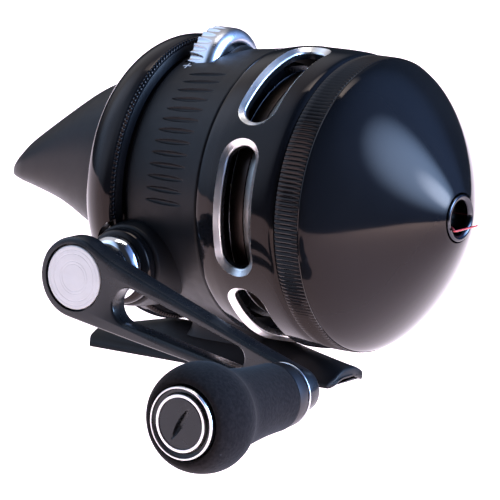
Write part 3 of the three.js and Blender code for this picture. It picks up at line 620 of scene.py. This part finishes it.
def body_housing():
    columns = 2160
    xs = sorted(set(
        [BODY_REAR_X, -7.85, -7.6, -7.35, -7.1, -6.85, POCKET_REAR_X, POCKET_FRONT_X,
         11.75, 11.9, 12.0, BODY_FRONT_X]
        + [round(float(v), 3) for v in np.linspace(POCKET_REAR_X, 11.6, 72)]))
    radius = smoothed(BODY_PROFILE + [(BODY_FRONT_X, 29.8)],
                      np.linspace(BODY_REAR_X, BODY_FRONT_X, 200), 3)
    angles = np.arange(columns) * 2 * math.pi / columns
    degrees = np.degrees(angles)
    one_side = [GROOVE_PITCH * i for i in range(GROOVE_COUNT)]
    centres = np.array(one_side + [180 - a for a in one_side])
    near = (degrees[:, None] - centres[None, :] + 180) % 360 - 180
    near = near[np.arange(columns), np.abs(near).argmin(1)]
    points = []
    for x in xs:
        r = radius(x)
        along = (x - GROOVE_X) / GROOVE_HALF_LENGTH
        if abs(along) < 1:
            width = GROOVE_HALF_WIDTH * (1 - along ** 2) ** 0.6 + 1e-6
            across = np.radians(near) * r / width
            hollow = np.clip(1 - across ** 2, 0, 1) ** 0.8
            r = r - GROOVE_DEPTH * hollow * (1 - along ** 2) ** 0.5
        points.extend(zip([x] * columns, -r * np.cos(angles), AXIS_Z + r * np.sin(angles)))
    rows = len(xs)
    low, high = xs.index(POCKET_REAR_X), xs.index(POCKET_FRONT_X)
    left, right_ = int(columns * POCKET_START / 360), int(columns * POCKET_END / 360)
    faces = []
    for i in range(rows - 1):
        for j in range(columns):
            if low <= i < high and left <= j < right_:
                continue
            n = (j + 1) % columns
            a, b = i * columns, (i + 1) * columns
            faces.append((a + j, a + n, b + n, b + j))
    # inner skin, joined at both ends, and the pocket's walls
    base = len(points)
    inner = [(BODY_FRONT_X, 27.2), (BODY_REAR_X, 25.0)]
    for x, r in inner:
        points.extend(zip([x] * columns, -r * np.cos(angles), AXIS_Z + r * np.sin(angles)))
    for j in range(columns):
        n = (j + 1) % columns
        last = (rows - 1) * columns
        faces.append((last + j, last + n, base + n, base + j))
        faces.append((base + j, base + n, base + columns + n, base + columns + j))
        faces.append((base + columns + j, base + columns + n, n, j))
    border = [(i, left) for i in range(low, high)] + [(high, j) for j in range(left, right_)]
    border += [(i, right_) for i in range(high, low, -1)]
    border += [(low, j) for j in range(right_, left, -1)]
    start = len(points)
    for i, j in border:
        x, y, z = points[i * columns + j]
        points.append((x, y * 0.93, z - 5.0))
    for k, (i, j) in enumerate(border):
        i2, j2 = border[(k + 1) % len(border)]
        n = (k + 1) % len(border)
        faces.append((i * columns + j, i2 * columns + j2, start + n, start + k))
    return piece("body_look", points, faces, "frame", MATT, ["body_housing"], 35)


body_housing()
turned("boss_look", [
    (-31, 0), (-31, 8.2), (-30.6, 8.6), (-27, 9.2), (-22, 9.6), (-20, 9.6), (-20, 0),
], "frame", MATT, put=about_y(CRANK_X, CRANK_Z), radius=0.3)
turned("left_boss_look", [
    (18.6, 0), (18.6, 8.4), (27.4, 7.8), (28, 7.2), (28, 0),
], "frame", MATT, put=about_y(CRANK_X, CRANK_Z), radius=0.3)


def wheel_hood():
    """The low crescent that rises from the body in front of the drag wheel."""
    rings = []
    for x, reach in ((1.5, 6.9), (2, 7), (2.6, 6.9), (3.4, 6.5), (4.4, 5.8), (5.4, 4.7),
                     (6.2, 3.2)):
        ring = []
        for i in range(33):
            turn_by = math.radians(150) * (i / 32 - 0.5) + math.pi / 2
            ring.append((x, reach * math.cos(turn_by) * 1.05,
                         WHEEL_Z - 0.1 + reach * math.sin(turn_by)))
        ring += [(x, -6, WHEEL_Z - 2), (x, 6, WHEEL_Z - 2)]
        rings.append(ring)
    points, faces = loft(rings)
    return piece("wheel_hood", points, faces, "frame", MATT, crease=50)


wheel_hood()


def plus_mark():
    """A small painted plus beside the drag wheel."""
    points, faces = [], []
    angle0 = math.radians(67.3)
    put = about_x()

    def patch(x0, x1, a0, a1):
        start = len(points)
        for i in range(9):
            for j in range(9):
                x = x0 + (x1 - x0) * i / 8
                a = a0 + (a1 - a0) * j / 8
                points.append(put(x, body_radius(x) + 0.03, a))
        for i in range(8):
            for j in range(8):
                k = start + i * 9 + j
                faces.append((k, k + 1, k + 10, k + 9))

    reach, thick = 1.05, 0.19
    patch(-4.5 - reach, -4.5 + reach, angle0 - thick / 28, angle0 + thick / 28)
    patch(-4.5 - thick, -4.5 + thick, angle0 - reach / 28, angle0 - thick / 28)
    patch(-4.5 - thick, -4.5 + thick, angle0 + thick / 28, angle0 + reach / 28)
    return piece("plus_mark", points, faces, "frame", WHITE)


plus_mark()


# Rear cover, with fine teeth round its front lip


def rear_cover():
    outer = [(-8.75, 29.4), (-8.75, 29.9), (-8.86, 30.2), (-9.05, 30.4), (-9.3, 30.42),
             (-9.42, 30.4)]
    cuts = [0.0, 0.3, 0.45, 0.5, 0.35, 0.0]
    bulge = smooth_path([(-9.5, 30.44), (-11.2, 30.66), (-13.3, 30.3), (-15.6, 29.2), (-17.4, 27.7),
                         (-18.5, 26.1), (-18.8, 24.8), (-18.75, 23.6), (-18.3, 22.9)], 40)
    tail = [(-18, 22.7), (-16.9, 24.6), (-15, 26.3), (-12.5, 27.6), (-9.2, 28.2)]
    profile = outer + [tuple(p) for p in bulge] + tail
    cuts += [0.0] * (len(bulge) + len(tail))
    points, faces = spin(profile, LIP_TEETH * POINTS_PER_TOOTH, about_x(), cuts,
                         (0.0, 0.3, 1.0, 0.3))
    item = piece("rear_cover_look", points, faces, "frame", GLOSS,
                 ["rear_cover"], 40)
    cut_away(item, [
        spin([(side * 15, 0), (side * 15, reach), (side * 40, reach), (side * 40, 0)], 96,
             about_y(CRANK_X, CRANK_Z))
        for side, reach in ((-1, 9.9), (1, 8.8))], 40)


rear_cover()
turned("rear_lip", [(-8.8, 29.5), (-8.55, 28.6), (-8.4, 27.4), (-9.4, 27.2), (-9.4, 29.4)],
       "frame", MATT, count=192, radius=0.1)
turned("body_skirt", [(-7.9, 26.4), (-12.9, 26.2), (-12.9, 24.6), (-7.9, 24.6)],
       "frame", MATT, count=128)
turned("rear_web", [(-13.9, 24.6), (-13.4, 24.6), (-13.4, 10.5), (-13.9, 10.5)],
       "frame", MATT, count=96)


# Thumb button

BUTTON = [
    (-17.8, 21.9, -18.6, 20.4), (-21.3, 21.2, -17.2, 19.4), (-25.5, 19.5, -15, 18.2),
    (-30.2, 17, -12.4, 16.8), (-37.1, 12.1, -9, 14.8), (-44.9, 6.2, -6.7, 12.4),
    (-47.7, 3.5, -6, 11.3), (-49.9, 1, -5.4, 9.9), (-51.3, -1.2, -4.9, 8.2), (-51.9, -2.4, -4, 6.4),
]


def thumb_button():
    rings = []
    for x, top, bottom, wide in smooth_path(BUTTON, 60):
        middle, tall = (top + bottom) / 2, (top - bottom) / 2
        ring = []
        for i in range(96):
            a = 2 * math.pi * i / 96
            ca, sa = math.cos(a), math.sin(a)
            y = wide * math.copysign(abs(ca) ** 0.82, ca)
            z = middle + tall * math.copysign(abs(sa) ** 0.82, sa)
            r = math.hypot(y, z)
            if r > 22.1:
                y, z = y * 22.1 / r, z * 22.1 / r
            ring.append((x, y, AXIS_Z + z))
        rings.append(ring)
    points, faces = loft(rings)
    return piece("button_look", points, faces, "button", MATT, ["thumb_button"], 50)


thumb_button()


# Drag wheel: lens-shaped ribs at the rear, a smooth shoulder and a recessed face at the front


def drag_wheel():
    count = WHEEL_RIBS * POINTS_PER_RIB
    profile = [(-5.9, 1.9), (-5.9, 9.3), (-5.8, 9.8), (-5.5, 10.15)]
    profile += [(-5.5 + 0.2 * i, 10.33) for i in range(1, 22)]
    profile += [(-0.8, 10.27), (-0.3, 10.08), (0.15, 9.75), (0.5, 9.3), (0.75, 8.8), (0.88, 8.3),
                (0.88, 7.5), (0.7, 7.25), (-0.9, 6.8), (-1.9, 6.4), (-1.9, 1.9)]
    points = []
    for x, r in profile:
        along = np.clip((x + 6.2) / 4.6, 0, 1)
        width = 0.47 * (1 - along ** 2) ** 0.5
        for j in range(count):
            across = abs(((j / POINTS_PER_RIB) % 1) - 0.5)
            deep = 0.0
            if r > 9.2 and x < -1.3 and width > 0.02 and across < width:
                deep = 0.62 * (1 - (across / width) ** 2) * (1 - along ** 2) ** 0.5
            a = 2 * math.pi * j / count
            points.append((x, -(r - deep) * math.cos(a), WHEEL_Z + (r - deep) * math.sin(a)))
    faces = []
    rows = len(profile)
    for i in range(rows):
        faces += quads(i, (i + 1) % rows, count)
    return piece("wheel_look", points, faces, "drag_wheel", SILVER,
                 ["drag_wheel"], 40)


drag_wheel()


# Crank: collar, arm with its long slot, disc

CRANK_AXIS = about_y(CRANK_X, CRANK_Z)
turned("boss_ring_look", [
    (-34, 3.9), (-34, 6.9), (-33.5, 7.6), (-32.8, 7.95), (-31.3, 8.0), (-31.3, 3.9),
], "frame", GLOSS, ["crank_boss_ring"], CRANK_AXIS, 96, 0.3)
turned("crank_collar_look", [
    (-37.2, 3.3), (-37.2, 5.3), (-36.6, 6.0), (-35.6, 6.6), (-34.9, 6.8), (-34.3, 6.7),
    (-34.3, 3.3),
], "crank", CHROME, ["crank_collar"], CRANK_AXIS, 96, 0.3)


def arm_outline():
    def arc(cx, cz, r, a0, a1, count=24):
        steps = [math.radians(a0 + (a1 - a0) * i / count) for i in range(count + 1)]
        return [(cx + r * math.cos(a), cz + r * math.sin(a)) for a in steps]

    tip_u, tip_w = THROW * math.cos(DROP - ARM_DROP), -THROW * math.sin(DROP - ARM_DROP)
    upper = smooth_path(
        [(47.5, 2.4), (36, 3.5), (21.7, 5.0), (11.7, 6.2), (6.2, 7.0), (3.2, 7.85)], 30)
    outline = arc(0, -0.1, 8.5, 68, 68 + 206, 60)
    outline += [(9.2, -8.05), (17.3, -7.5), (31, -6.4), (42, -6.6)]
    outline += arc(tip_u, tip_w, 4.6, -95, 86, 40)
    outline += [tuple(p) for p in upper[:-1]]
    slot = arc(14.4, -1.05, 3.85, 88, 272, 32) + arc(41.8, -1.15, 2.4, -88, 88, 32)
    return outline, slot


def crank_arm():
    curve = bpy.data.curves.new("arm", "CURVE")
    curve.dimensions = "2D"
    curve.fill_mode = "BOTH"
    curve.extrude = (ARM_THICK / 2 - ARM_BEVEL) * MM
    curve.bevel_depth = ARM_BEVEL * MM
    curve.bevel_resolution = 2
    curve.offset = -ARM_BEVEL * MM
    for ring in arm_outline():
        spline = curve.splines.new("POLY")
        spline.points.add(len(ring) - 1)
        for point, (x, z) in zip(spline.points, ring):
            point.co = (x * MM, z * MM, 0, 1)
        spline.use_cyclic_u = True
    source = bpy.data.objects.new("arm_source", curve)
    bpy.context.scene.collection.objects.link(source)
    mesh = evaluated_mesh(source)
    bpy.data.objects.remove(source)
    stand = Matrix(((1, 0, 0, 0), (0, 0, 1, 0), (0, 1, 0, 0), (0, 0, 0, 1)))
    drop = Matrix.Rotation(ARM_DROP, 4, "Y")
    middle = Matrix.Translation(Vector((CRANK_X, CRANK_FACE_Y + ARM_THICK / 2, CRANK_Z)) * MM)
    mesh.transform(stand)
    thick, thin_from, slope = ARM_THICK * MM, 22 * MM, 0.012
    for vertex in mesh.vertices:  # the inboard face slopes, so that the arm thins to its tip
        inboard = min(1.0, max(0.0, (vertex.co.y + thick / 2) / thick))
        vertex.co.y -= max(0.0, vertex.co.x - thin_from) * slope * inboard
    mesh.transform(middle @ drop)
    weld(mesh, 1e-6)
    mesh.materials.clear()
    mesh.materials.append(SATIN)
    item = place("arm_look", mesh, "crank", ["crank_arm"], 25)
    recess_y = CRANK_FACE_Y + 1.6
    cut_away(item, [spin([(-60, 0), (-60, 7.1), (recess_y, 7.1), (recess_y, 0)], 96, CRANK_AXIS)],
             25)


crank_arm()
turned("arm_hub_look", [
    (CRANK_FACE_Y + 4.5, 0), (CRANK_FACE_Y + 4.5, 5.9), (-37.5, 5.6), (-37.5, 0),
], "crank", SATIN, put=CRANK_AXIS, radius=0.3)


def disc_profile():
    face = CRANK_FACE_Y + 0.1
    rings = [(0, 0.0)]
    for r0, r1 in ((2.75, 2.95), (3.35, 3.5), (4.9, 5.05), (5.75, 5.95)):
        rings += [(r0 - 0.05, 0), (r0, 0.03), (r1, 0.03), (r1 + 0.05, 0)]
    rings += [(6.45, 0), (6.62, 0.1), (6.7, 0.25)]
    profile = [(face + d, r) for r, d in rings]
    return profile + [(face + 1.1, 6.7), (face + 1.1, 0)]


points, faces = spin(disc_profile(), 128, CRANK_AXIS)
piece("disc_look", points, faces, "crank", DISC, ["crank_disc"], 20)


# Knob

KNOB_AXIS = about_y(KNOB_X, KNOB_Z)


def knob_part(name, profile, body, look, nodes, radius=0.2, count=96):
    along = [(KNOB_CAP_Y + t, r) for t, r in profile]
    return turned(name, along, body, look, nodes, KNOB_AXIS, count, radius)


grip = smooth_path([
    (1.35, 7.7), (1.15, 8.2), (1.45, 9.0), (2.9, 10.05), (5.2, 10.8), (8, 11.1), (10.6, 10.55),
    (13.1, 9.2), (15.6, 8.35), (19, 7.85), (24, 7.3), (28, 7.05), (31.5, 6.95),
], 90)
bore = [(31.6, 6.8), (31.6, 4.4), (2.6, 4.4), (2.6, 7.6)]
knob_part("grip_look", [tuple(p) for p in grip] + bore, "knob", FOAM, ["knob_grip"])
knob_part("cap_look", [
    (1.4, 0), (1.4, 6.0), (0.95, 6.05), (0.85, 6.15), (0.75, 6.75), (0.6, 6.85), (0.35, 6.95),
    (0.35, 7.15), (0.7, 7.3), (2.4, 7.3), (2.4, 0),
], "knob", SATIN, ["knob_end_cap"], 0.05)


def knob_trim(name, outline):
    along = [(KNOB_CAP_Y + t, r) for t, r in outline]
    pts, fcs = spin(rounded(along, 0.06), 128, KNOB_AXIS)
    return piece(name, pts, fcs, "knob", BEZEL)


knob_trim("cap_outer_ring", [(0.2, 6.92), (0.2, 7.2), (0.6, 7.36), (0.6, 6.92)])
knob_trim("cap_inner_ring", [(0.12, 5.2), (0.12, 5.75), (1.2, 5.8), (1.2, 5.2)])


def knob_plug():
    """A slotted disc: the slot is a lens, as a round cutter leaves it."""
    count, rim = 128, 5.12
    slot_turn, slot_reach, slot_half, slot_deep = math.radians(59), 3.9, 0.62, 0.9
    circle = [2 * math.pi * j / count for j in range(count)]
    rings = []
    for r in [0.01] + [0.25 * i for i in range(1, 20)] + [4.9, 5.05, rim]:
        ring = []
        for a in circle:
            x, z = r * math.cos(a), r * math.sin(a)
            along = x * math.cos(slot_turn) + z * math.sin(slot_turn)
            across = -x * math.sin(slot_turn) + z * math.cos(slot_turn)
            lens = max(0.0, 1 - (along / slot_reach) ** 2)
            inside = min(1.0, max(0.0, (slot_half * lens - abs(across)) / 0.15 + 0.5))
            edge = 0.12 if r > 5.0 else 0.0
            ring.append((KNOB_X + x, KNOB_CAP_Y + 0.18 + slot_deep * lens * inside + edge,
                         KNOB_Z + z))
        rings.append(ring)
    rings.append([(KNOB_X + rim * math.cos(a), KNOB_CAP_Y + 1.1, KNOB_Z + rim * math.sin(a))
                  for a in circle])
    pts, fcs = loft(rings)
    return piece("plug_look", pts, fcs, "knob", SATIN, ["knob_plug"], 30)


knob_plug()
knob_part("knob_collar_look", [(31.9, 4.3), (31.9, 6.8), (35, 6.6), (35.5, 6.2), (35.5, 4.3)],
          "knob", DARK_METAL, ["knob_collar"])
knob_part("knob_ring_look", [
    (35.8, 2.6), (35.8, 6.35), (36, 6.5), (36.25, 6.4), (36.4, 6.1), (36.4, 2.6),
], "crank", SILVER, ["knob_ring"], 0.1)
knob_part("knob_neck_look", [(36.6, 2.6), (36.6, 4.9), (37.4, 4.85), (38, 4.6), (38, 2.6)],
          "crank", DARK_METAL, ["knob_neck"], 0.1)


# Rod foot


def rod_foot():
    half, wide, flat, tip_long = 33.3, 6.8, 1.2, 2.7

    def section(x, trim):
        """The saddle's outline at x. trim lifts the underside, to round the ends."""
        reach = min(1.0, (33.9 - abs(x)) / 20)
        below, above = [], []
        for i in range(-24, 25):
            y = wide * i / 24
            out = abs(y)
            bend = max(0, out - flat) / (wide - flat)
            droop = -1.85 * (1 - math.cos(bend * math.pi / 2))
            lift = 0.55 * (min(1, max(0, (out - 5.4) / 1.4)) ** 2) + trim
            crown = math.cos(min(1, out / 5.7) * math.pi / 2) ** 1.2
            below.append((x, y, droop + lift))
            above.append((x, y, droop - lift + 1.85 + 4.6 * reach * crown))
        return below + above[::-1]

    def tip(sign):
        out = []
        for i in range(1, 13):
            t = i / 12
            x = half - tip_long + 1.35 * t
            trim = 0.55 * (1 - math.sqrt(max(0, 1 - max(0, t * 2.2 - 1.2) ** 2)))
            out.append([
                (sign * min(x, half - tip_long + 2.6 * (1 - (abs(y) / wide) ** 2) * t + 0.15 * t),
                 y, z)
                for _, y, z in section(x, trim)])
        return out

    plain = [section(x, 0.0) for x in np.linspace(-1, 1, 81) * (half - tip_long)]
    points, faces = loft(tip(-1)[::-1] + plain + tip(1))
    piece("foot_look", points, faces, "frame", MATT, ["rod_foot"], 40)


def foot_stem():
    rings = []
    for z, long, thick in ((4.2, 10.6, 4.9), (5.2, 9.8, 4.6), (6.5, 9.4, 4.4), (9, 9.1, 4.25),
                           (12, 9, 4.2)):
        ring = []
        for i in range(64):
            a = 2 * math.pi * i / 64
            ca, sa = math.cos(a), math.sin(a)
            ring.append((2 + long * math.copysign(abs(ca) ** 0.6, ca),
                         thick * math.copysign(abs(sa) ** 0.6, sa), z))
        rings.append(ring)
    points, faces = loft(rings)
    piece("foot_stem", points, faces, "frame", MATT, crease=50)


rod_foot()
foot_stem()


# Inside, seen through the windows

turned("spinner_look", [
    (17.8, 24.7), (17.8, 26.2), (21.2, 26.2), (21.2, 25.7), (25.4, 25.7), (26.4, 24.8),
    (28.2, 12), (28.6, 5), (29.4, 5), (29.4, 2.2), (24.5, 2.2), (24.5, 5.2), (26.7, 11.5),
    (25, 24), (24.4, 24.7),
], "spinner", BRONZE, ["spinner_head"], radius=0.12)
turned("spinner_band", [
    (21.3, 25.2), (21.3, 26.05), (25.3, 26.05), (25.3, 25.2),
], "spinner", CHAMPAGNE, radius=0.12)
turned("spinner_edge", [
    (17.7, 25.8), (17.7, 26.24), (17.95, 26.24), (17.95, 25.8),
], "spinner", SILVER, radius=0.05)
turned("winding_look", [
    (17.5, 11.3), (17.5, 18), (17.9, 18.6), (18.4, 18.8), (21, 18.8), (21.5, 18.6), (21.9, 18),
    (21.9, 11.3),
], "spool", RED, ["line_winding"], radius=0.2)
turned("left_cap_look", [
    (25.9, 0), (25.9, 6.4), (28.3, 6.4), (28.3, 7), (29.2, 7), (30.1, 6.3), (30.5, 5), (30.8, 0),
], "frame", SATIN, ["left_cap"], CRANK_AXIS, 96, 0.3)


# CAD nodes that stay get their slot's look

slots = {s["node"]: s["material_slot"] for s in frame["record"]["subparts"]}
for name, item in frame["nodes"].items():
    item.data.materials.clear()
    item.data.materials.append(LOOKS[slots[name]])


# Floor, light


def stage():
    edge = [(-2.4, -1.4), (-0.3, -0.6), (0.1, -0.41), (0.32, -0.2), (0.56, -0.03), (0.56, 2.4),
            (-2.4, 2.4)]
    mesh = bpy.data.meshes.new("floor")
    mesh.from_pydata([(x, y, -0.052) for x, y in edge], [], [tuple(range(len(edge)))])
    look = material("floor", (0.9, 0.83, 0.8), 0.8, specular=0.0)
    shader = principled(look)
    shader.inputs["Emission Color"].default_value = (1, 0.72, 0.64, 1)
    shader.inputs["Emission Strength"].default_value = 1.45
    vary_rough(look, 0.75, 0.85, 3)
    mesh.materials.append(look)
    floor = bpy.data.objects.new("floor", mesh)
    bpy.context.scene.collection.objects.link(floor)


def area(name, place_at, target, size, power, spread_degrees):
    lamp = bpy.data.lights.new(name, "AREA")
    lamp.shape = "RECTANGLE"
    lamp.size, lamp.size_y = size
    lamp.energy = power
    lamp.spread = math.radians(spread_degrees)
    item = bpy.data.objects.new(name, lamp)
    direction = Vector(target) - Vector(place_at)
    aim = direction.to_track_quat("-Z", "Y").to_matrix().to_4x4()
    item.matrix_world = Matrix.Translation(place_at) @ aim
    bpy.context.scene.collection.objects.link(item)


stage()


def soft_glow(tree, direction, inner, outer, color, strength):
    """Light from a soft round patch of the surroundings.

    direction is (azimuth, height), and inner and outer are the patch's radii, all in degrees.
    """
    azimuth, height = math.radians(direction[0]), math.radians(direction[1])
    place_at = tree.nodes.new("ShaderNodeTexCoord")
    dot = tree.nodes.new("ShaderNodeVectorMath")
    dot.operation = "DOT_PRODUCT"
    dot.inputs[1].default_value = (math.cos(height) * math.cos(azimuth),
                                   math.cos(height) * math.sin(azimuth), math.sin(height))
    tree.links.new(place_at.outputs["Generated"], dot.inputs[0])
    ranged = tree.nodes.new("ShaderNodeMapRange")
    ranged.interpolation_type = "SMOOTHSTEP"
    ranged.inputs["From Min"].default_value = math.cos(math.radians(outer))
    ranged.inputs["From Max"].default_value = math.cos(math.radians(inner))
    ranged.inputs["To Max"].default_value = strength
    tree.links.new(dot.outputs["Value"], ranged.inputs["Value"])
    glow = tree.nodes.new("ShaderNodeBackground")
    glow.inputs["Color"].default_value = (*color, 1)
    tree.links.new(ranged.outputs["Result"], glow.inputs["Strength"])
    return glow.outputs[0]


def surroundings():
    """A dim world with soft glows. Camera rays that miss everything see plain white."""
    world = bpy.data.worlds.new("world")
    world.use_nodes = True
    tree = world.node_tree
    base = tree.nodes["Background"]
    base.inputs["Color"].default_value = (0.7, 0.8, 1, 1)
    base.inputs["Strength"].default_value = 0.035
    total = base.outputs[0]
    for glow in (
        ((17, 22), 1, 27, (0.32, 0.56, 1), 17),
        ((21, 15), 1, 13, (0.5, 0.7, 1), 22),
        ((26, 28), 5, 55, (0.22, 0.42, 1), 1.1),
        ((-146, 30), 8, 46, (0.46, 0.66, 1), 1.8),
        ((160, 44), 10, 42, (0.95, 0.94, 1), 0.65),
    ):
        both = tree.nodes.new("ShaderNodeAddShader")
        tree.links.new(total, both.inputs[0])
        tree.links.new(soft_glow(tree, *glow), both.inputs[1])
        total = both.outputs[0]
    seen = tree.nodes.new("ShaderNodeBackground")
    ray = tree.nodes.new("ShaderNodeLightPath")
    mixed = tree.nodes.new("ShaderNodeMixShader")
    tree.links.new(ray.outputs["Is Camera Ray"], mixed.inputs[0])
    tree.links.new(total, mixed.inputs[1])
    tree.links.new(seen.outputs[0], mixed.inputs[2])
    seen.inputs["Color"].default_value = (1, 1, 1, 1)
    tree.links.new(mixed.outputs[0], tree.nodes["World Output"].inputs["Surface"])
    bpy.context.scene.world = world


surroundings()
area("back", (-0.28, 0.45, 1.0), (-0.28, 0.45, 0), (0.9, 0.9), 1.2, 50)
area("front", (0.55, -0.05, 0.6), (0.55, -0.05, 0), (0.3, 0.5), 3, 60)
bpy.context.scene.view_settings.view_transform = "Standard"
